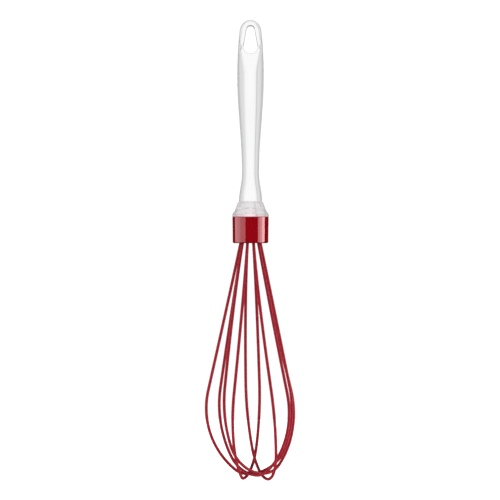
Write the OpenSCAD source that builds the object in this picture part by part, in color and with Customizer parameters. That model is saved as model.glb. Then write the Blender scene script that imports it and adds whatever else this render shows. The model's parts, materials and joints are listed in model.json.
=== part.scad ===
// Balloon whisk: a clear handle, a glossy collar and five silicone-coated wire loops.
// The origin is the centre of the hang hole's upper arc, where a hook carries the whisk.
// +Z runs up the handle, +X across its flat faces, and +Y goes through the hang hole.

/* [Handle] */
// Length from the handle's top to the collar
handle_len = 128.4; // [115:0.2:145]
// Width at the belly, the widest place
belly_w = 17.2; // [15:0.2:20]
// Thickness at the belly
belly_t = 15.8; // [13:0.2:17]
// Width at the waist, the narrowest place
waist_w = 11; // [10:0.2:12]
// Thickness at the waist
waist_t = 9.6; // [8:0.2:10]
// Width at the shoulder, where the flared base begins
shoulder_w = 15.2; // [14:0.2:16]
// Thickness at the shoulder
shoulder_t = 12.4; // [11:0.2:14]
// Thickness of the flat tab round the hang hole
tab_t = 8.5; // [7:0.5:10]
// Height of the base, which flares out to the collar's width
base_h = 9.2; // [8:0.2:11]
// Height of the rounded foot round the base's lower edge
foot_h = 3.6; // [3:0.2:4.4]
// Upright part of the foot, just above the collar
rim_h = 1.3; // [0.8:0.1:1.6]

/* [Hang hole] */
// Radius of the upper arc, where a hook bears
hole_r_top = 2.7; // [2.2:0.1:3]
// Radius of the lower arc
hole_r_low = 4.7; // [4:0.1:5]
// Height of the hole
hole_h = 18.5; // [16:0.5:20]
// Wall above the hole
hole_wall = 3.7; // [3:0.1:5]

/* [Collar] */
// Outer diameter at the handle
collar_d = 23.6; // [22.8:0.2:26]
// Outer diameter at the mouth
collar_mouth_d = 23.2; // [22:0.2:24]
// Height of the collar
collar_h = 17; // [16:1:24]
// Radius of the mouth's rounded edge
mouth_edge_r = 1; // [0.8:0.1:1.6]
// Wall thickness at the mouth
collar_wall = 1.7; // [1.6:0.1:2.2]
// Thickness of the web across the collar's top
web_h = 3; // [2:0.5:4]

/* [Tenon] */
// Diameter of the tenon that joins the handle to the collar
tenon_d = 8; // [6:0.5:9]
// Length of the tenon
tenon_len = 6; // [5:0.5:7]

/* [Wire] */
// Diameter of the steel wire
core_d = 1; // [0.8:0.1:1.2]
// Diameter over the silicone
sleeve_d = 2; // [1.7:0.1:2.1]
// Radius of the circle on which the wires leave the collar
exit_r = 6.4; // [6:0.1:7.5]
// Lean of each wire away from the axis where it leaves
exit_angle = 12; // [10:0.5:13]
// Half the width of every loop
loop_r = 28; // [27:0.5:29]

// Each loop has five dimensions: how far it hangs below the collar; how far past the widest
// place its two legs turn before the tight bottom bend, in degrees; and how far its bottom
// has swung to the side and to the back, as springy wires do.

/* [Loop 1, straight across] */
// Depth below the collar
loop1_len = 151; // [150.5:0.5:151]
// Turn of the right leg
loop1_turn_a = 20; // [15:5:30]
// Turn of the left leg
loop1_turn_b = 50; // [40:5:55]
// Swing to the side
loop1_side = -1.5; // [-2:0.5:-1]
// Swing to the back
loop1_back = 5.5; // [5:0.5:6.5]

/* [Loop 2, a tenth of a turn on] */
// Depth below the collar
loop2_len = 150.5; // [150.3:0.1:150.6]
// Turn of the back right leg
loop2_turn_a = 45; // [40:5:50]
// Turn of the front left leg
loop2_turn_b = 15; // [15:5:25]
// Swing to the side
loop2_side = 9.5; // [9:0.5:10]
// Swing to the back
loop2_back = 4; // [3:0.5:4]

/* [Loop 3, two tenths of a turn on] */
// Depth below the collar
loop3_len = 153.5; // [153.5:0.5:154.5]
// Turn of the back right leg
loop3_turn_a = 15; // [15:5:20]
// Turn of the front left leg
loop3_turn_b = 55; // [50:5:55]
// Swing to the side
loop3_side = -4.5; // [-5:0.5:-4]
// Swing to the back
loop3_back = 2; // [2:0.5:3]

/* [Loop 4, three tenths of a turn on] */
// Depth below the collar
loop4_len = 153.5; // [153.5:0.5:154.5]
// Turn of the back left leg
loop4_turn_a = 15; // [15:5:25]
// Turn of the front right leg
loop4_turn_b = 15; // [15:5:25]
// Swing to the side
loop4_side = 10.5; // [10:0.5:11]
// Swing to the back
loop4_back = -1.5; // [-2:0.5:-1]

/* [Loop 5, four tenths of a turn on] */
// Depth below the collar
loop5_len = 150.5; // [150.5:0.5:151]
// Turn of the back left leg
loop5_turn_a = 30; // [25:5:35]
// Turn of the front right leg
loop5_turn_b = 50; // [45:5:55]
// Swing to the side
loop5_side = 3.5; // [3:0.5:4]
// Swing to the back
loop5_back = -7; // [-7:0.5:-6]

/* [Hidden] */
$fn = 64;
// Overlap that makes neighbouring cuts and unions clean.
lap = 1;
// Play between a wire's layers and in the holes that take them.
play = 0.03;

// Heights along the handle, downwards from its top.
z_top = hole_r_top + hole_wall;
z_tab = z_top - 0.08 * handle_len;
z_belly = z_top - 0.28 * handle_len;
z_waist = z_top - 0.775 * handle_len;
z_collar = z_top - handle_len;
z_rim = z_collar + rim_h;
z_foot = z_collar + foot_h;
z_base = z_collar + base_h;
z_mouth = z_collar - collar_h;

// The hang hole's lower arc, and the slant of the sides that join its two arcs.
hole_drop = hole_h - hole_r_top - hole_r_low;
hole_slant = asin((hole_r_low - hole_r_top) / hole_drop);

// Inside the collar: the wire holder sits just within the mouth, with resin above it.
socket_r = collar_mouth_d / 2 - collar_wall;
holder_recess = 1;
holder_h = 4;
z_holder_low = z_mouth + holder_recess;
z_holder_top = z_holder_low + holder_h;
z_web_low = z_collar - web_h;

// How far the steel and the silicone run up into the collar. The steel ends below the tenon.
core_gap = 1;
core_anchor = min(10, collar_h - tenon_len - core_gap);
sleeve_anchor = holder_recess + holder_h;

// The five loops: depth, turn of each leg, swing to the side and to the back.
LOOPS = [
    [loop1_len, loop1_turn_a, loop1_turn_b, loop1_side, loop1_back],
    [loop2_len, loop2_turn_a, loop2_turn_b, loop2_side, loop2_back],
    [loop3_len, loop3_turn_a, loop3_turn_b, loop3_side, loop3_back],
    [loop4_len, loop4_turn_a, loop4_turn_b, loop4_side, loop4_back],
    [loop5_len, loop5_turn_a, loop5_turn_b, loop5_side, loop5_back]
];
loop_count = len(LOOPS);
loop_step = 180 / loop_count;

// ---- Handle outlines ----

// Half a cosine wave from a to b as z goes from za to zb.
function ease(z, za, zb, a, b) = (a + b) / 2 + (a - b) / 2 * cos(180 * (z - za) / (zb - za));

// The belly's half width falls away upwards along a long arc.
belly_arc_r = 270;

// A round cap closes the tab above the origin.
function cap(z) = z <= 0 ? 1 : sqrt(max(0, 1 - pow(z / z_top, 2)));

// Half width of the grip at height z.
function grip_half_w(z) =
    z > z_belly ? (belly_w / 2 - pow(z - z_belly, 2) / (2 * belly_arc_r)) * cap(z)
    : z > z_waist ? ease(z, z_belly, z_waist, belly_w / 2, waist_w / 2)
    : z > z_base ? ease(z, z_waist, z_base, waist_w / 2, shoulder_w / 2)
    : shoulder_w / 2;

// Half thickness of the grip at height z.
function grip_half_t(z) =
    z > z_tab ? tab_t / 2
    : z > z_belly ? ease(z, z_tab, z_belly, tab_t / 2, belly_t / 2)
    : z > z_waist ? ease(z, z_belly, z_waist, belly_t / 2, waist_t / 2)
    : z > z_base ? ease(z, z_waist, z_base, waist_t / 2, shoulder_t / 2)
    : shoulder_t / 2;

// The grip runs a little way down inside the base.
grip_low = z_base - 2;
grip_step = 3;
cap_steps = 8;

// The same outline on the other side, listed from its far end back.
function mirrored(outline) =
    [for (i = [len(outline) - 1 : -1 : 0]) [-outline[i].x, outline[i].y]];

// The grip is round in section, with a flat on its front and on its back.
module grip() {
    half_side = [
        for (z = [grip_low - lap : grip_step : z_tab]) [grip_half_t(z), z],
        [tab_t / 2, z_tab],
        [tab_t / 2, z_top + lap]
    ];
    intersection() {
        rotate_extrude()
            polygon([
                [0, grip_low],
                for (z = [grip_low : grip_step : 0]) [grip_half_w(z), z],
                for (i = [1 : cap_steps - 1])
                    let (z = z_top * sin(90 * i / cap_steps)) [grip_half_w(z), z],
                [0, z_top]
            ]);
        rotate([90, 0, 90])
            linear_extrude(height = 2 * belly_w, center = true)
                polygon(concat(half_side, mirrored(half_side)));
    }
}

// The base widens with a slight curve from just outside the grip to the foot, which then
// swells out in a quarter of a sine wave to the rim.
flare_curve = 1.15;
flare_steps = 8;
foot_steps = 5;
base_ledge = 0.8;
base_r_top = shoulder_w / 2 + base_ledge;
rim_r = collar_d / 2;
foot_swell = 1.4;
module base() {
    rotate_extrude()
        polygon([
            [0, z_collar],
            [rim_r, z_collar],
            for (i = [foot_steps : -1 : 1])
                let (t = i / foot_steps)
                [rim_r - foot_swell * (1 - sin(90 * t)), z_foot - (z_foot - z_rim) * t],
            for (i = [flare_steps : -1 : 0])
                let (t = i / flare_steps)
                [base_r_top + (rim_r - foot_swell - base_r_top) * pow(t, flare_curve),
                    z_base - (z_base - z_foot) * t],
            [0, z_base]
        ]);
}

// The hang hole's outline: two arcs joined by slanting sides.
module teardrop() {
    circle(r = hole_r_top);
    translate([0, -hole_drop]) circle(r = hole_r_low);
    polygon([
        [-hole_r_top * cos(hole_slant), hole_r_top * sin(hole_slant)],
        [hole_r_top * cos(hole_slant), hole_r_top * sin(hole_slant)],
        [hole_r_low * cos(hole_slant), hole_r_low * sin(hole_slant) - hole_drop],
        [-hole_r_low * cos(hole_slant), hole_r_low * sin(hole_slant) - hole_drop]
    ]);
}

module handle() color([0.93, 0.95, 0.96, 0.6]) {
    difference() {
        union() {
            grip();
            base();
        }
        rotate([90, 0, 0])
            linear_extrude(height = 2 * tab_t, center = true) teardrop();
    }
    translate([0, 0, z_collar - tenon_len])
        cylinder(d = tenon_d, h = tenon_len + lap);
}

// ---- Collar and what it holds ----

top_chamfer = 0.3;
edge_turn = 15;

module collar() color("crimson") {
    edge_x = collar_mouth_d / 2 - mouth_edge_r;
    edge_z = z_mouth + mouth_edge_r;
    rotate_extrude()
        polygon([
            [tenon_d / 2 + play, z_collar],
            [collar_d / 2 - top_chamfer, z_collar],
            [collar_d / 2, z_collar - top_chamfer],
            for (a = [0 : edge_turn : 90])
                [edge_x + mouth_edge_r * cos(a), edge_z - mouth_edge_r * sin(a)],
            [socket_r, z_mouth],
            [socket_r, z_web_low],
            [tenon_d / 2 + play, z_web_low]
        ]);
}

// One slanted hole for each wire end, of radius r, from depth low to depth high
// inside the collar's mouth.
module wire_holes(r, low, high) {
    for (i = [0 : 2 * loop_count - 1])
        rotate([0, 0, i * loop_step])
            translate([exit_r, 0, z_mouth])
                rotate([0, -exit_angle, 0])
                    translate([0, 0, low]) cylinder(r = r, h = high - low);
}

module wire_holder() color("firebrick") {
    difference() {
        translate([0, 0, z_holder_low]) cylinder(r = socket_r, h = holder_h);
        wire_holes(sleeve_d / 2 + play, 0, sleeve_anchor + 2 * lap);
    }
}

module potting_resin() color("wheat") {
    difference() {
        translate([0, 0, z_holder_top])
            cylinder(r = socket_r, h = z_web_low - z_holder_top);
        wire_holes(core_d / 2 + play, 0, core_anchor / cos(exit_angle) + play);
        translate([0, 0, z_collar - tenon_len - play])
            cylinder(d = tenon_d + 2 * play, h = tenon_len);
    }
}

// ---- Wire loops ----

ring_sides = 8;
leg_steps = 8;
swing_curve = 1.5;

// Radius of the wide side arc, for a leg that turns by the angle turn past its widest place
// and whose loop hangs by depth. The legs, arcs and bottom all meet without a kink.
function side_r(turn, depth) =
    (depth - (loop_r - exit_r) / tan(exit_angle) - loop_r * (1 - sin(turn)) / cos(turn))
    / (tan(exit_angle / 2) + 1 + tan(turn) - 1 / cos(turn));

// Half a loop in its own plane, as [distance from the axis, depth below the collar]: a
// straight run that starts at the height anchor inside the collar, the side arc, and the
// tight arc to the bottom's middle.
function half_loop(turn, depth, anchor) =
    let (
        r_side = side_r(turn, depth),
        r_low = (loop_r - r_side * (1 - cos(turn))) / cos(turn),
        run = (loop_r - exit_r - r_side * (1 - cos(exit_angle))) / sin(exit_angle),
        wide = run * cos(exit_angle) + r_side * sin(exit_angle)
    )
    [
        [exit_r - anchor * tan(exit_angle), -anchor],
        for (i = [0 : leg_steps - 1])
            [exit_r + run * i / leg_steps * sin(exit_angle), run * i / leg_steps * cos(exit_angle)],
        for (i = [0 : leg_steps - 1])
            let (a = exit_angle - (exit_angle + turn) * i / leg_steps)
            [loop_r - r_side * (1 - cos(a)), wide - r_side * sin(a)],
        for (i = [0 : leg_steps])
            let (a = turn + (90 - turn) * i / leg_steps)
            [r_low * cos(a), depth - r_low * (1 - sin(a))]
    ];

// The whole loop's centre line in space. The swing grows from nothing at the collar.
function loop_path(index, anchor) =
    let (
        dims = LOOPS[index],
        depth = dims[0],
        one = half_loop(dims[1], depth, anchor),
        other = mirrored(half_loop(dims[2], depth, anchor)),
        flat = concat(one, [for (i = [1 : len(other) - 1]) other[i]]),
        turn = index * loop_step
    )
    [
        for (p = flat)
            let (swing = pow(max(0, p.y) / depth, swing_curve))
            [
                p.x * cos(turn) + dims[3] * swing,
                p.x * sin(turn) + dims[4] * swing,
                z_mouth - p.y
            ]
    ];

function unit(v) = v / norm(v);

// A ring of radius r round each point of a path. The rings don't twist, because they are
// all set out from the loop's own plane.
function rings(path, r, index) =
    let (
        last = len(path) - 1,
        turn = index * loop_step,
        across = [-sin(turn), cos(turn), 0]
    )
    [
        for (i = [0 : last])
            let (
                along = unit(path[min(i + 1, last)] - path[max(i - 1, 0)]),
                u = unit(across - (across * along) * along),
                v = cross(along, u)
            )
            for (k = [0 : ring_sides - 1])
                let (a = 360 * k / ring_sides)
                path[i] + r * cos(a) * u + r * sin(a) * v
    ];

// The faces between neighbouring rings that start at the point number first.
function wall(first, stations, outward) = [
    for (i = [0 : stations - 2], k = [0 : ring_sides - 1])
        let (
            a = first + i * ring_sides + k,
            b = first + i * ring_sides + (k + 1) % ring_sides
        )
        outward ? [a, a + ring_sides, b + ring_sides, b] : [a, b, b + ring_sides, a + ring_sides]
];

// A solid wire along a path.
module wire(path, r, index) {
    stations = len(path);
    last = (stations - 1) * ring_sides;
    polyhedron(
        points = rings(path, r, index),
        faces = concat(
            wall(0, stations, true),
            [[for (k = [0 : ring_sides - 1]) k]],
            [[for (k = [ring_sides - 1 : -1 : 0]) last + k]]
        ),
        convexity = 6
    );
}

// A tube along a path, with open ends.
module tube(path, r_out, r_in, index) {
    stations = len(path);
    inner = stations * ring_sides;
    last = (stations - 1) * ring_sides;
    polyhedron(
        points = concat(rings(path, r_out, index), rings(path, r_in, index)),
        faces = concat(
            wall(0, stations, true),
            wall(inner, stations, false),
            [for (k = [0 : ring_sides - 1])
                let (n = (k + 1) % ring_sides) [k, n, inner + n, inner + k]],
            [for (k = [0 : ring_sides - 1])
                let (n = (k + 1) % ring_sides)
                [last + n, last + k, inner + last + k, inner + last + n]]
        ),
        convexity = 6
    );
}

module wire_core(index) color("silver")
    wire(loop_path(index, core_anchor), core_d / 2, index);

module wire_sleeve(index) color("red")
    tube(loop_path(index, sleeve_anchor), sleeve_d / 2, core_d / 2 + play, index);

handle();
collar();
wire_holder();
potting_resin();
for (i = [0 : loop_count - 1]) {
    wire_core(i);
    wire_sleeve(i);
}
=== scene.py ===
"""Looks of the balloon whisk: a clear acrylic handle, a glossy collar and silicone-coated wires.

The whisk's lengths are in millimetres until a mesh is made, and the studio's are in metres. +Z runs up
the handle, as in the CAD frame.
"""

import itertools
import json
import math

import bpy
import numpy as np
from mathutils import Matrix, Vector

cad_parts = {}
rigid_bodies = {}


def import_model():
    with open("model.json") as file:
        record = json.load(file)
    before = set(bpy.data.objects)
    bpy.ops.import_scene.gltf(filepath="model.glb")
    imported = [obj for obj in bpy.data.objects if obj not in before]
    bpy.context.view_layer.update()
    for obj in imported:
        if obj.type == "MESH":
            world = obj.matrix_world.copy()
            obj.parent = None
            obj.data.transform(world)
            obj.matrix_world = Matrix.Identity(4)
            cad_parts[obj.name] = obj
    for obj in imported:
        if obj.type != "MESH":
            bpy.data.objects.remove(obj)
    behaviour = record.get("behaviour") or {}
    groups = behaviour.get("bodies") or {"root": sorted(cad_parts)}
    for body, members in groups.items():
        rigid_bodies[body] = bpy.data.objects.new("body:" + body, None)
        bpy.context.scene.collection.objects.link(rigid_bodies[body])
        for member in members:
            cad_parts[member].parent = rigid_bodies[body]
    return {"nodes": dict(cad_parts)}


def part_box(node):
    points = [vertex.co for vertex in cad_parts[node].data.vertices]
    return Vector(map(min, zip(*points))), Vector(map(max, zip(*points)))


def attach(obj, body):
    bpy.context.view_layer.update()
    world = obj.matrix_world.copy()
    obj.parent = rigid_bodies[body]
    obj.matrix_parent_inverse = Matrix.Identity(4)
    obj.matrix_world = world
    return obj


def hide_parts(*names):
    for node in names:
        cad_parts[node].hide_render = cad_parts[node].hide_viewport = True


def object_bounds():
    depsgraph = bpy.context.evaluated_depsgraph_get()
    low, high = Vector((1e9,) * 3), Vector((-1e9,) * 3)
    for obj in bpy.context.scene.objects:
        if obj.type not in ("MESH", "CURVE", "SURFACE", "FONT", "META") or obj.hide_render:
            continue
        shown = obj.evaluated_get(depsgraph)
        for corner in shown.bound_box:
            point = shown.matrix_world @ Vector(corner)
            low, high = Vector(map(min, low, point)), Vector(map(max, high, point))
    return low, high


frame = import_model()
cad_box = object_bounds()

MM = 0.001

# ---- Dimensions, read from the frame where a box gives them ----

collar_low, collar_high = (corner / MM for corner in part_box("collar"))
handle_low, handle_high = (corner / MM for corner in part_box("handle"))
holder_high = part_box("wire_holder")[1] / MM

Z_TOP = handle_high.z
Z_COLLAR = collar_high.z
Z_MOUTH = collar_low.z
HANDLE_LEN = Z_TOP - Z_COLLAR
RIM_R = collar_high.x

# Handle outline
BELLY_W, BELLY_T = 17.2, 15.8
WAIST_W, WAIST_T = 11.0, 9.6
SHOULDER_W, SHOULDER_T = 15.2, 12.4
TAB_T = 8.5
BELLY_ARC_R = 270.0
BASE_LEDGE = 0.8
BASE_R_TOP = SHOULDER_W / 2 + BASE_LEDGE
BASE_H, FOOT_H, RIM_H = 9.2, 3.6, 1.3
FLARE_CURVE = 1.15
FOOT_SWELL = 1.4
FOOT_SOFTENING = 0.4
FOOT_CURVE = 1.3
TENON_R = 4.0
TENON_LAP = 1.0
Z_TENON = handle_low.z
Z_TAB = Z_TOP - 0.08 * HANDLE_LEN
Z_BELLY = Z_TOP - 0.28 * HANDLE_LEN
Z_WAIST = Z_TOP - 0.775 * HANDLE_LEN
Z_BASE = Z_COLLAR + BASE_H
Z_FOOT = Z_COLLAR + FOOT_H
Z_RIM = Z_COLLAR + RIM_H

# Hang hole
HOLE_R_TOP, HOLE_R_LOW, HOLE_DROP = 2.7, 4.7, 11.1

# Collar
MOUTH_R = 11.6
MOUTH_EDGE_R = 1.0
SOCKET_R = holder_high.x
BORE_R = 4.03
WEB_H = 3.0

# Wires
CORE_R, SLEEVE_R, SLEEVE_BORE_R = 0.5, 1.0, 0.53
CORE_ANCHOR, SLEEVE_ANCHOR = 10.0, 5.0
EXIT_R, LOOP_R = 6.4, 28.0
EXIT_ANGLE = math.radians(12)
SWING_CURVE = 1.5
# Depth, turn of each leg in degrees, swing to the side and to the back, as in the CAD loops.
LOOPS = [
    (151.0, 20, 50, -1.5, 5.5),
    (150.5, 45, 15, 9.5, 4.0),
    (153.5, 15, 55, -4.5, 2.0),
    (153.5, 15, 15, 10.5, -1.5),
    (150.5, 30, 50, 3.5, -7.0),
]
LOOP_STEP = math.pi / len(LOOPS)

# Brightness of the screens seen through the handle: round each quarter turn, where 0.5 is the middle
# of a screen, and from straight down at 0 to straight up at 1.
SCREEN_STOPS = [
    (0.05, 0.58), (0.10, 0.72), (0.30, 0.80), (0.36, 0.60), (0.41, 0.95),
    (0.50, 1.0), (0.59, 0.97), (0.68, 0.78), (0.90, 0.72), (0.96, 0.58),
]
HEIGHT_STOPS = [
    (0.20, 1.0), (0.275, 0.80), (0.37, 0.80), (0.46, 1.0),
    (0.54, 1.0), (0.63, 0.68), (0.725, 0.70), (0.80, 1.0),
]

# How softly the handle's edges are rounded
FLAT_EDGE = 0.9
HOLE_EDGE = 0.9
BASE_EDGE = 1.0
FILLET = 1.4
RIM_EDGE = 0.3
TENON_EDGE = 0.6
TENON_FILLET = 0.15
# Width of the painted shade along the collar's edges, and of the painted reflection of the collar's red
# along the handle's rim
EDGE_SHADE = 0.9
RIM_REFLECTION_BAND = 1.0
# A film of air lies between the clear base and the collar, and makes the base's underside mirror.
AIR_GAP = 0.02

# How finely the meshes are made: cells of the handle, and sides and steps of the turned and swept pieces
HANDLE_CELL = 0.36
SETTLE_ROUNDS = 3
RELAX_ROUNDS = 6
COLLAR_SIDES = 192
CORE_SIDES, SLEEVE_SIDES = 12, 20
LEG_STEPS, SIDE_STEPS, LOW_STEPS = 24, 28, 24


# ---- Mesh helpers ----


def make_piece(name, points, faces, normals, node, material):
    """A smooth mesh in metres that rides on the whisk and stands for the CAD node."""
    mesh = bpy.data.meshes.new(name)
    mesh.from_pydata((points * MM).tolist(), [], faces)
    mesh.shade_smooth()
    mesh.normals_split_custom_set_from_vertices(normals.tolist())
    mesh.materials.append(material)
    piece = bpy.data.objects.new(name, mesh)
    bpy.context.scene.collection.objects.link(piece)
    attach(piece, "root")
    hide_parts(node)
    return piece


def unit(v):
    """Vectors of length 1 along v."""
    return v / np.linalg.norm(v, axis=-1, keepdims=True)


def smooth_max(a, b, soft):
    """The larger of two distances, with the edge between them rounded over soft."""
    near = np.maximum(soft - np.abs(a - b), 0) / soft
    return np.maximum(a, b) + near * near * soft / 4


def smooth_min(a, b, soft):
    """The smaller of two distances, with the corner between them filled over soft."""
    return -smooth_max(-a, -b, soft)


def gradient(shape, points):
    """Slope of the shape's distance at each point."""
    step = 0.005
    slopes = []
    for axis in np.eye(3) * step:
        slopes.append((shape(*(points + axis).T) - shape(*(points - axis).T)) / (2 * step))
    return np.stack(slopes, axis=1)


def settle(shape, points, limit):
    """Moves points onto the shape's surface."""
    for _ in range(SETTLE_ROUNDS):
        slope = gradient(shape, points)
        move = slope * (shape(*points.T) / (slope**2).sum(1))[:, None]
        length = np.linalg.norm(move, axis=1, keepdims=True)
        points = points - move * np.minimum(1, limit / np.maximum(length, 1e-9))
    return points


def contour(shape, low, high, cell):
    """Even quads over the surface where shape is 0: one point for each cell that it crosses."""
    axes = [np.arange(low[i] - 1.5 * cell, high[i] + 2 * cell, cell) for i in range(3)]
    inside = shape(*np.meshgrid(*axes, indexing="ij")) < 0
    corners = [
        inside[tuple(slice(d, n - 1 + d) for d, n in zip(offset, inside.shape))]
        for offset in itertools.product((0, 1), repeat=3)
    ]
    crossed = np.any(corners, axis=0) & ~np.all(corners, axis=0)
    number = np.full(crossed.shape, -1)
    number[crossed] = np.arange(crossed.sum())
    start = np.array([a[0] for a in axes])
    points = start + (np.argwhere(crossed) + 0.5) * cell

    quads = []
    for axis in range(3):
        first = np.delete(inside, -1, axis)
        ends_differ = first != np.delete(inside, 0, axis)
        edge = np.argwhere(ends_differ)
        u, v = np.eye(3, dtype=int)[[(axis + 1) % 3, (axis + 2) % 3]]
        around = [edge, edge - u, edge - u - v, edge - v]
        ring = np.stack([number[tuple(cells.T)] for cells in around], axis=1)
        leaves = first[ends_differ]
        quads += [ring[leaves], ring[~leaves][:, ::-1]]
    quads = np.concatenate(quads)

    points = settle(shape, points, cell)
    one, two = quads.ravel(), np.roll(quads, -1, axis=1).ravel()
    share = np.bincount(one, minlength=len(points))
    for _ in range(RELAX_ROUNDS):
        middle = np.stack(
            [np.bincount(one, points[two, i], len(points)) / share for i in range(3)], axis=1
        )
        points = settle(shape, (points + middle) / 2, cell)
    return points, quads.tolist(), unit(gradient(shape, points))


def rounded(corners, steps=8):
    """A closed outline of (r, z, radius) corners with its corners rounded, as points and normals.
    It runs anticlockwise, so outward is to the right of the way it runs."""
    points, normals = [], []
    for i, (r, z, radius) in enumerate(corners):
        here = np.array([r, z])
        back = unit(np.array(corners[i - 1][:2]) - here)
        ahead = unit(np.array(corners[(i + 1) % len(corners)][:2]) - here)
        half = math.acos(np.clip(back @ ahead, -1, 1)) / 2
        centre = here + unit(back + ahead) * radius / math.sin(half)
        turn = back[0] * ahead[1] - back[1] * ahead[0]
        side = 1 if turn < 0 else -1
        start = here + back * radius / math.tan(half)
        arm = unit(start - centre)
        sweep = (math.pi - 2 * half) * side
        for k in range(steps + 1):
            a = sweep * k / steps
            spoke = np.array(
                [arm[0] * math.cos(a) - arm[1] * math.sin(a), arm[0] * math.sin(a) + arm[1] * math.cos(a)]
            )
            points.append(centre + spoke * radius)
            normals.append(spoke * side)
    return np.array(points), np.array(normals)


def lathe(outline, normals, sides):
    """Turns a closed outline of (r, z) round the axis."""
    turn = np.linspace(0, 2 * math.pi, sides, endpoint=False)
    cos, sin = np.cos(turn)[:, None], np.sin(turn)[:, None]

    def spin(flat):
        r, z = flat[:, 0], flat[:, 1]
        return np.stack([r * cos, r * sin, np.broadcast_to(z, (sides, len(z)))], axis=2).reshape(-1, 3)

    count = len(outline)
    i, k = (a.ravel() for a in np.meshgrid(np.arange(sides), np.arange(count), indexing="ij"))
    j, n = (i + 1) % sides, (k + 1) % count
    faces = np.stack([i * count + k, j * count + k, j * count + n, i * count + n], axis=1)
    return spin(outline), faces.tolist(), spin(normals)


# ---- Handle ----


def ease(z, za, zb, a, b):
    """Half a cosine wave from a to b as z goes from za to zb."""
    return (a + b) / 2 + (a - b) / 2 * np.cos(np.pi * (z - za) / (zb - za))


def grip_half_w(z):
    upper = BELLY_W / 2 - (z - Z_BELLY) ** 2 / (2 * BELLY_ARC_R)
    middle = ease(z, Z_BELLY, Z_WAIST, BELLY_W / 2, WAIST_W / 2)
    lower = ease(z, Z_WAIST, Z_BASE, WAIST_W / 2, SHOULDER_W / 2)
    return np.select([z > Z_BELLY, z > Z_WAIST, z > Z_BASE], [upper, middle, lower], SHOULDER_W / 2)


def grip_half_t(z):
    upper = ease(z, Z_TAB, Z_BELLY, TAB_T / 2, BELLY_T / 2)
    middle = ease(z, Z_BELLY, Z_WAIST, BELLY_T / 2, WAIST_T / 2)
    lower = ease(z, Z_WAIST, Z_BASE, WAIST_T / 2, SHOULDER_T / 2)
    return np.select(
        [z > Z_TAB, z > Z_BELLY, z > Z_WAIST, z > Z_BASE],
        [TAB_T / 2, upper, middle, lower],
        SHOULDER_T / 2,
    )


def base_r(z):
    """Radius of the base: a slight flare down to the foot, which swells softly out to the rim."""
    cone_low = RIM_R - FOOT_SWELL
    down = np.clip((Z_BASE - z) / (Z_BASE - Z_FOOT), 0, 1)
    cone = BASE_R_TOP + (cone_low - BASE_R_TOP) * down**FLARE_CURVE
    start = Z_FOOT + FOOT_SOFTENING
    swell = np.clip((start - z) / (start - Z_RIM), 0, 1)
    return cone + FOOT_SWELL * np.sin(math.pi / 2 * swell) ** FOOT_CURVE


def hole_distance(x, z):
    """Distance to the hang hole's outline: two arcs joined by their tangents."""
    x, up = np.abs(x), z + HOLE_DROP
    lean = (HOLE_R_LOW - HOLE_R_TOP) / HOLE_DROP
    rise = math.sqrt(1 - lean**2)
    along = rise * up - lean * x
    side = rise * x + lean * up - HOLE_R_LOW
    low = np.hypot(x, up) - HOLE_R_LOW
    top = np.hypot(x, z) - HOLE_R_TOP
    return np.select([along < 0, along > rise * HOLE_DROP], [low, top], side)


def handle_shape(x, y, z):
    """Distance to the handle's surface, less than 0 inside it."""
    r = np.hypot(x, y)
    half_w = grip_half_w(z)
    in_cap = np.maximum(z, 0) / Z_TOP
    sides = (np.hypot(r / half_w, in_cap) - 1) * half_w
    grip = smooth_max(sides, np.abs(y) - grip_half_t(z), FLAT_EDGE)

    base = smooth_max(r - base_r(z), z - Z_BASE, BASE_EDGE)
    body = smooth_max(smooth_min(grip, base, FILLET), Z_COLLAR + AIR_GAP - z, RIM_EDGE)

    tenon = smooth_max(r - TENON_R, Z_TENON - z, TENON_EDGE)
    tenon = np.maximum(tenon, z - Z_COLLAR - TENON_LAP)
    body = smooth_min(body, tenon, TENON_FILLET)
    return smooth_max(body, -hole_distance(x, z), HOLE_EDGE)


def make_handle(material):
    low, high = (-RIM_R, -RIM_R, Z_TENON), (RIM_R, RIM_R, Z_TOP)
    points, quads, normals = contour(handle_shape, low, high, HANDLE_CELL)
    make_piece("acrylic_handle", points, quads, normals, "handle", material)


# ---- Collar ----


def make_collar(material):
    outline = [
        (BORE_R, Z_COLLAR, 0.45),
        (BORE_R, Z_COLLAR - WEB_H, 0.2),
        (SOCKET_R, Z_COLLAR - WEB_H, 0.4),
        (SOCKET_R, Z_MOUTH, 0.25),
        (MOUTH_R, Z_MOUTH, MOUTH_EDGE_R),
        (RIM_R, Z_COLLAR, 0.15),
    ]
    points, faces, normals = lathe(*rounded(outline), COLLAR_SIDES)
    make_piece("collar_shell", points, faces, normals, "collar", material)


# ---- Wires ----


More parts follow.
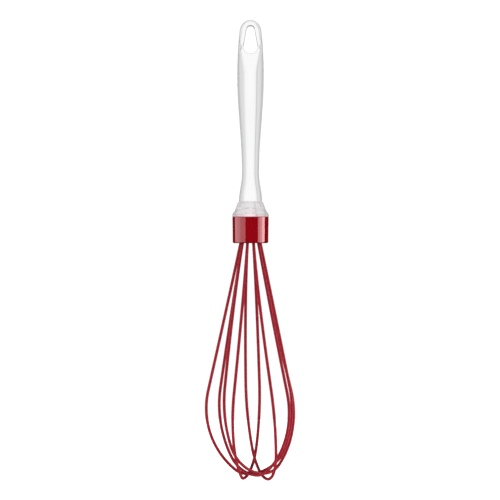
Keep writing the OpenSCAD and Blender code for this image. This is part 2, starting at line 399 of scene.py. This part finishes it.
def half_loop(turn, depth, anchor):
    """Half a loop in its own plane, as (distance from the axis, depth below the collar)."""
    tan, sin, cos = math.tan, math.sin, math.cos
    rest = depth - (LOOP_R - EXIT_R) / tan(EXIT_ANGLE) - LOOP_R * (1 - sin(turn)) / cos(turn)
    side_r = rest / (tan(EXIT_ANGLE / 2) + 1 + tan(turn) - 1 / cos(turn))
    low_r = (LOOP_R - side_r * (1 - cos(turn))) / cos(turn)
    run = (LOOP_R - EXIT_R - side_r * (1 - cos(EXIT_ANGLE))) / sin(EXIT_ANGLE)
    wide = run * cos(EXIT_ANGLE) + side_r * sin(EXIT_ANGLE)

    leg = np.linspace(-anchor / cos(EXIT_ANGLE), run, LEG_STEPS, endpoint=False)
    side = np.linspace(EXIT_ANGLE, -turn, SIDE_STEPS, endpoint=False)
    low = np.linspace(turn, math.pi / 2, LOW_STEPS)
    u = [
        EXIT_R + leg * sin(EXIT_ANGLE),
        LOOP_R - side_r * (1 - np.cos(side)),
        low_r * np.cos(low),
    ]
    w = [leg * cos(EXIT_ANGLE), wide - side_r * np.sin(side), depth - low_r * (1 - np.sin(low))]
    return np.stack([np.concatenate(u), np.concatenate(w)], axis=1)


def loop_path(index, anchor):
    """A loop's centre line in space. Its swing grows from nothing at the collar."""
    depth, turn_a, turn_b, to_side, to_back = LOOPS[index]
    one = half_loop(math.radians(turn_a), depth, anchor)
    other = half_loop(math.radians(turn_b), depth, anchor)[::-1] * (-1, 1)
    flat = np.concatenate([one, other[1:]])
    swing = (np.maximum(flat[:, 1], 0) / depth) ** SWING_CURVE
    turn = index * LOOP_STEP
    return np.stack(
        [
            flat[:, 0] * math.cos(turn) + to_side * swing,
            flat[:, 0] * math.sin(turn) + to_back * swing,
            Z_MOUTH - flat[:, 1],
        ],
        axis=1,
    )


def sweep(path, outline_r, index, sides):
    """Rings along a path for each radius in outline_r, joined into one closed skin.
    One radius makes a solid wire, and two make a tube."""
    turn = index * LOOP_STEP
    across = np.array([-math.sin(turn), math.cos(turn), 0])
    along = unit(np.gradient(path, axis=0))
    u = unit(across - (along @ across)[:, None] * along)
    v = np.cross(along, u)
    angle = np.linspace(0, 2 * math.pi, sides, endpoint=False)
    spokes = np.cos(angle)[None, :, None] * u[:, None] + np.sin(angle)[None, :, None] * v[:, None]

    stations = len(path)
    i, k = (a.ravel() for a in np.meshgrid(np.arange(stations - 1), np.arange(sides), indexing="ij"))
    n = (k + 1) % sides
    wall = np.stack([i * sides + k, (i + 1) * sides + k, (i + 1) * sides + n, i * sides + n], axis=1)
    points, normals, faces = [], [], []
    for layer, radius in enumerate(outline_r):
        points.append((path[:, None] + radius * spokes).reshape(-1, 3))
        normals.append((spokes * (1 if layer == 0 else -1)).reshape(-1, 3))
        skin = wall + layer * stations * sides
        faces += (skin[:, ::-1] if layer == 0 else skin).tolist()
    ring = list(range(sides))
    last = (stations - 1) * sides
    if len(outline_r) == 1:
        faces += [ring, [last + k for k in reversed(ring)]]
    else:
        inner = stations * sides
        for k in ring:
            n = (k + 1) % sides
            faces.append([k, n, inner + n, inner + k])
            faces.append([last + n, last + k, inner + last + k, inner + last + n])
    return np.concatenate(points), faces, np.concatenate(normals)


def make_wires(steel, silicone):
    for index in range(len(LOOPS)):
        number = index + 1
        path = loop_path(index, CORE_ANCHOR)
        points, faces, normals = sweep(path, [CORE_R], index, CORE_SIDES)
        make_piece(f"steel_core_{number}", points, faces, normals,
                   f"wire_core_{number}", steel)
        path = loop_path(index, SLEEVE_ANCHOR)
        points, faces, normals = sweep(path, [SLEEVE_R, SLEEVE_BORE_R], index, SLEEVE_SIDES)
        make_piece(f"silicone_sleeve_{number}", points, faces, normals,
                   f"wire_sleeve_{number}", silicone)


# ---- Materials ----


def add(tree, kind, inputs=None, **settings):
    """A node with its settings, and its inputs given as values or as sockets to link."""
    made = tree.nodes.new(kind)
    for key, value in settings.items():
        setattr(made, key, value)
    for key, value in (inputs or {}).items():
        if isinstance(value, bpy.types.NodeSocket):
            tree.links.new(value, made.inputs[key])
        else:
            made.inputs[key].default_value = value
    return made


def grain(tree, size, detail=3.0, stretch=(1, 1, 1)):
    """Noise whose grains are about size millimetres wide, from 0 to 1."""
    place = add(tree, "ShaderNodeTexCoord").outputs["Object"]
    stretched = add(tree, "ShaderNodeMapping", {"Vector": place, "Scale": stretch})
    noise = add(
        tree, "ShaderNodeTexNoise",
        {"Vector": stretched.outputs["Vector"], "Scale": 1 / (size * MM), "Detail": detail},
    )
    return noise.outputs["Fac"]


def spread(tree, value, low, high):
    """Maps the middle of a noise, from 0.3 to 0.7, onto low to high."""
    mapped = add(
        tree, "ShaderNodeMapRange",
        {"Value": value, "From Min": 0.3, "From Max": 0.7, "To Min": low, "To Max": high},
    )
    return mapped.outputs["Result"]


def rises(tree, low, high):
    """From 0 to 1 as the height on the whisk goes from low to high millimetres."""
    place = add(tree, "ShaderNodeTexCoord").outputs["Object"]
    z = add(tree, "ShaderNodeSeparateXYZ", {"Vector": place}).outputs["Z"]
    mapped = add(tree, "ShaderNodeMapRange", {"Value": z, "From Min": low * MM, "From Max": high * MM})
    return mapped.outputs["Result"]


def blend(tree, share, one, two, kind="MIX"):
    """Mixes colour two into colour one by share, from 0 to 1. Each is an RGB triple or a socket."""
    inputs = {"Factor": share}
    for key, colour in (("A", one), ("B", two)):
        inputs[key] = (*colour, 1) if isinstance(colour, tuple) else colour
    mixed = add(tree, "ShaderNodeMix", inputs, data_type="RGBA", blend_type=kind)
    return next(s for s in mixed.outputs if s.type == "RGBA")


def mottled(tree, size, one, two, detail=3.0):
    """Wanders from one colour to the other in patches about size millimetres wide."""
    return blend(tree, spread(tree, grain(tree, size, detail), 0, 1), one, two)


def bump(tree, height, depth, strength, under=None):
    """A bump of height grains depth millimetres deep."""
    inputs = {"Height": height, "Distance": depth * MM, "Strength": strength}
    if under:
        inputs["Normal"] = under
    return add(tree, "ShaderNodeBump", inputs).outputs["Normal"]


def new_material(name, inputs):
    """A material whose shader has these inputs. Each value may be a function of the node tree."""
    material = bpy.data.materials.new(name)
    material.use_nodes = True
    tree = material.node_tree
    shader = tree.nodes["Principled BSDF"]
    for key, value in inputs.items():
        if callable(value):
            tree.links.new(value(tree), shader.inputs[key])
        else:
            shader.inputs[key].default_value = value
    return material


def clear_acrylic():
    """Injection-moulded acrylic: faint flow waves and fine rubbing marks along the grip. The rim and the
    base's underside carry a painted reflection of the collar's red."""

    def colour(tree):
        clear = mottled(tree, 9, (1, 1, 1), (0.985, 0.99, 0.99))
        # Painted reflection: a red band along the rim and a faint pink on the underside stand in for the
        # collar's red seen in them.
        above = rises(tree, Z_COLLAR + RIM_REFLECTION_BAND, Z_COLLAR + RIM_REFLECTION_BAND / 2)
        under = rises(tree, Z_COLLAR + 3 * AIR_GAP, Z_COLLAR + 1.5 * AIR_GAP)
        rim = blend(tree, above, clear, (1, 0.3, 0.36))
        return blend(tree, under, rim, (1, 0.84, 0.86))

    def surface(tree):
        waves = bump(tree, grain(tree, 14, 1, (1, 1, 0.4)), 0.02, 0.35)
        return bump(tree, grain(tree, 0.5, 2, (1, 1, 0.1)), 0.0015, 0.2, waves)

    return new_material("clear_acrylic", {
        "Base Color": colour,
        "Roughness": lambda t: spread(t, grain(t, 2.5, 4, (1, 1, 0.3)), 0.0, 0.02),
        "Normal": surface,
        "IOR": 1.49,
        "Transmission Weight": 1.0,
    })


def red_gloss_plastic():
    """Polished red plastic with a faint orange peel, and painted shade along its top and mouth edges,
    where their rounding would mirror the dark.
    """

    def colour(tree):
        # Painted shade: the red darkens over EDGE_SHADE at the top and mouth edges, standing in for the
        # dark that their rounding mirrors.
        top = rises(tree, Z_COLLAR - EDGE_SHADE, Z_COLLAR - EDGE_SHADE / 2)
        mouth = rises(tree, Z_MOUTH + EDGE_SHADE, Z_MOUTH + EDGE_SHADE / 2)
        edges = add(tree, "ShaderNodeMath", {0: top, 1: mouth}, operation="MAXIMUM").outputs[0]
        body = mottled(tree, 3, (0.26, 0.0008, 0.0045), (0.29, 0.001, 0.0055))
        return blend(tree, edges, body, (0.12, 0.001, 0.006))

    return new_material("red_gloss_plastic", {
        "Base Color": colour,
        "Roughness": lambda t: spread(t, grain(t, 1.2, 4), 0.03, 0.05),
        "Normal": lambda t: bump(t, grain(t, 1.6, 2), 0.0005, 0.25),
        "IOR": 1.8,
        "Specular Tint": (1, 0.6, 0.63, 1),
    })


def red_plastic():
    """Spark-textured red plastic of the wire holder."""
    return new_material("red_plastic", {
        "Base Color": lambda t: mottled(t, 2, (0.30, 0.004, 0.010), (0.36, 0.006, 0.014)),
        "Roughness": lambda t: spread(t, grain(t, 0.6), 0.42, 0.58),
        "Normal": lambda t: bump(t, grain(t, 0.25, 4), 0.02, 0.5),
    })


def epoxy_resin():
    """Cast amber resin, clouded with fine bubbles."""
    return new_material("epoxy_resin", {
        "Base Color": lambda t: mottled(t, 1.5, (0.55, 0.36, 0.12), (0.70, 0.50, 0.22), 5),
        "Roughness": lambda t: spread(t, grain(t, 1), 0.15, 0.3),
        "Normal": lambda t: bump(t, grain(t, 0.7, 3), 0.02, 0.3),
        "Transmission Weight": 0.3,
        "IOR": 1.55,
    })


def spring_steel():
    """Drawn wire, with streaks along it."""
    return new_material("spring_steel", {
        "Base Color": lambda t: mottled(t, 0.4, (0.50, 0.50, 0.49), (0.62, 0.62, 0.61)),
        "Metallic": 1.0,
        "Roughness": lambda t: spread(t, grain(t, 0.3, 4, (1, 1, 0.05)), 0.2, 0.38),
        "Normal": lambda t: bump(t, grain(t, 0.15, 2, (1, 1, 0.05)), 0.004, 0.4),
    })


def red_silicone():
    """Moulded silicone with a matt, slightly dusty skin."""

    def surface(tree):
        swell = bump(tree, grain(tree, 2.2, 2), 0.03, 0.4)
        return bump(tree, grain(tree, 0.12, 3), 0.006, 0.5, swell)

    return new_material("red_silicone", {
        "Base Color": lambda t: mottled(t, 1.8, (0.25, 0.004, 0.012), (0.32, 0.006, 0.018), 4),
        "Roughness": lambda t: spread(t, grain(t, 0.5), 0.36, 0.5),
        "Normal": surface,
        "IOR": 1.41,
        "Specular Tint": (1, 0.3, 0.35, 1),
        "Sheen Weight": 0.03,
        "Sheen Roughness": 0.4,
    })


def paint(name, material):
    """Gives a CAD node that stays in view its material."""
    node = frame["nodes"][name]
    node.data.materials.clear()
    node.data.materials.append(material)


# ---- Studio ----

AIM = (cad_box[0] + cad_box[1]) / 2
VIEW_DISTANCE = 1.303
VIEW_HEIGHT = 0.3259
SENSOR = 36.0
# How far the camera stands to the right of the handle's axis and above the box's middle, in millimetres
CAMERA_SIDE, CAMERA_RISE = -0.33, 0.1


def make_camera():
    data = bpy.data.cameras.new("camera")
    data.sensor_width = SENSOR
    data.lens = SENSOR * VIEW_DISTANCE / VIEW_HEIGHT
    camera = bpy.data.objects.new("camera", data)
    bpy.context.scene.collection.objects.link(camera)
    camera.location = (CAMERA_SIDE * MM, -VIEW_DISTANCE, AIM.z + CAMERA_RISE * MM)
    camera.rotation_euler = (math.radians(90), 0, 0)
    bpy.context.scene.camera = camera


def make_lamp(name, kind, azimuth, elevation, distance, energy):
    """A lamp that shines on the whisk from azimuth, in degrees right of the front, and elevation.
    Neither the camera nor a ray through the clear handle sees it."""
    turn, rise = math.radians(azimuth), math.radians(elevation)
    away = Vector((math.sin(turn) * math.cos(rise), -math.cos(turn) * math.cos(rise), math.sin(rise)))
    data = bpy.data.lights.new(name, kind)
    data.energy = energy
    lamp = bpy.data.objects.new(name, data)
    bpy.context.scene.collection.objects.link(lamp)
    lamp.location = AIM + away * distance
    lamp.rotation_euler = away.to_track_quat("Z", "Y").to_euler()
    lamp.visible_camera = False
    lamp.visible_transmission = False
    return lamp


def softbox(name, azimuth, half_angle, radiance, receivers):
    """An upright box that only its receivers mirror, and that adds nothing to their own colour."""
    distance, tall = 0.8, 1.6
    wide = 2 * distance * math.tan(math.radians(half_angle))
    lamp = make_lamp(name, "AREA", azimuth, 0, distance, radiance * math.pi * wide * tall)
    lamp.data.shape = "RECTANGLE"
    lamp.data.size, lamp.data.size_y = wide, tall
    lamp.visible_diffuse = False
    lamp.light_linking.receiver_collection = receivers


def fill(name, azimuth, elevation, strength):
    """Broad soft light that brings out a surface's own colour, and that nothing mirrors."""
    lamp = make_lamp(name, "SUN", azimuth, elevation, 1, strength)
    lamp.data.angle = math.radians(120)
    lamp.visible_glossy = False


def make_lights():
    """Softboxes that everything but the clear handle mirrors, and broad fill from both sides.
    Those other pieces don't show through the handle, whose clear base stays free of their red."""
    glossy = bpy.data.collections.new("mirror_the_boxes")
    for piece in bpy.context.scene.collection.objects:
        if piece.name != "acrylic_handle":
            glossy.objects.link(piece)
            piece.visible_transmission = False
    softbox("left_box_front", -50.5, 17.5, 1.8, glossy)
    softbox("left_box_back", -92, 24, 2.7, glossy)
    softbox("right_box_front", 55.5, 6.5, 3.0, glossy)
    softbox("right_box_middle", 70, 8, 4.2, glossy)
    softbox("right_box_back", 90, 12, 6.8, glossy)
    fill("front_fill", 0, 15, 2.2)
    fill("back_fill", 180, 15, 2.0)


def make_world():
    """Rays through the handle see four white screens round the whisk with pale grey between them, and
    a greyer band above and below. The camera sees plain white, and all other rays a dim room."""
    world = bpy.data.worlds.new("studio")
    bpy.context.scene.world = world
    world.use_nodes = True
    tree = world.node_tree
    tree.nodes.clear()
    way = add(tree, "ShaderNodeTexCoord").outputs["Generated"]
    split = add(tree, "ShaderNodeSeparateXYZ", {"Vector": way})

    def calc(operation, *values):
        return add(tree, "ShaderNodeMath", dict(enumerate(values)), operation=operation).outputs[0]

    def ramp(value, stops):
        made = add(tree, "ShaderNodeValToRGB", {"Fac": value})
        elements = made.color_ramp.elements
        while len(elements) < len(stops):
            elements.new(0.5)
        for element, (position, grey) in zip(elements, stops):
            element.position = position
            element.color = (grey, grey, grey, 1)
        return made.outputs["Color"]

    azimuth = calc("ARCTAN2", split.outputs["X"], split.outputs["Y"])
    from_middle = calc("WRAP", calc("DIVIDE", azimuth, math.pi / 2), 0.5, -0.5)
    across = ramp(calc("ADD", from_middle, 0.5), SCREEN_STOPS)
    height = calc("ADD", calc("DIVIDE", calc("ARCSINE", split.outputs["Z"]), math.pi), 0.5)
    upward = ramp(height, HEIGHT_STOPS)
    darker = blend(tree, 1.0, across, upward, "DARKEN")

    path = add(tree, "ShaderNodeLightPath")
    screens = add(tree, "ShaderNodeBackground", {"Color": darker})
    room = add(tree, "ShaderNodeBackground", {"Color": (1, 1, 1, 1), "Strength": 0.02})
    white = add(tree, "ShaderNodeBackground", {"Color": (1, 1, 1, 1), "Strength": 1.05})
    inner = add(
        tree, "ShaderNodeMixShader",
        {0: path.outputs["Is Transmission Ray"], 1: room.outputs[0], 2: screens.outputs[0]},
    )
    outer = add(
        tree, "ShaderNodeMixShader",
        {0: path.outputs["Is Camera Ray"], 1: inner.outputs[0], 2: white.outputs[0]},
    )
    add(tree, "ShaderNodeOutputWorld", {"Surface": outer.outputs[0]})


def pale_floor():
    """Bright from above and clear from below, so that it never hides the whisk."""
    material = new_material("pale_floor", {
        "Base Color": lambda t: blend(t, grain(t, 40), (0.85, 0.85, 0.85), (0.9, 0.9, 0.9)),
        "Roughness": 0.8,
        "Emission Color": (1, 1, 1, 1),
        "Emission Strength": 1.0,
    })
    tree = material.node_tree
    sides = add(
        tree, "ShaderNodeMixShader",
        {
            0: add(tree, "ShaderNodeNewGeometry").outputs["Backfacing"],
            1: tree.nodes["Principled BSDF"].outputs["BSDF"],
            2: add(tree, "ShaderNodeBsdfTransparent").outputs["BSDF"],
        },
    )
    tree.links.new(sides.outputs[0], tree.nodes["Material Output"].inputs["Surface"])
    return material


def make_floor():
    """A wide pale floor below the hanging whisk, bright as a light table."""
    reach, drop = 4.0, 0.3
    z = cad_box[0].z - drop
    mesh = bpy.data.meshes.new("floor")
    corners = [(-reach, -reach, z), (reach, -reach, z), (reach, reach, z), (-reach, reach, z)]
    mesh.from_pydata(corners, [], [(0, 1, 2, 3)])
    mesh.materials.append(pale_floor())
    floor = bpy.data.objects.new("floor", mesh)
    bpy.context.scene.collection.objects.link(floor)
    floor.visible_transmission = False
    floor.visible_glossy = False


make_camera()
make_handle(clear_acrylic())
make_collar(red_gloss_plastic())
make_wires(spring_steel(), red_silicone())
paint("wire_holder", red_plastic())
paint("potting_resin", epoxy_resin())
make_lights()
make_world()
make_floor()
bpy.context.scene.view_settings.view_transform = "Standard"
# Light runs many times round inside the clear handle before it leaves.
BOUNCES = 32
bpy.context.scene.cycles.max_bounces = BOUNCES
bpy.context.scene.cycles.glossy_bounces = BOUNCES
bpy.context.scene.cycles.transmission_bounces = BOUNCES
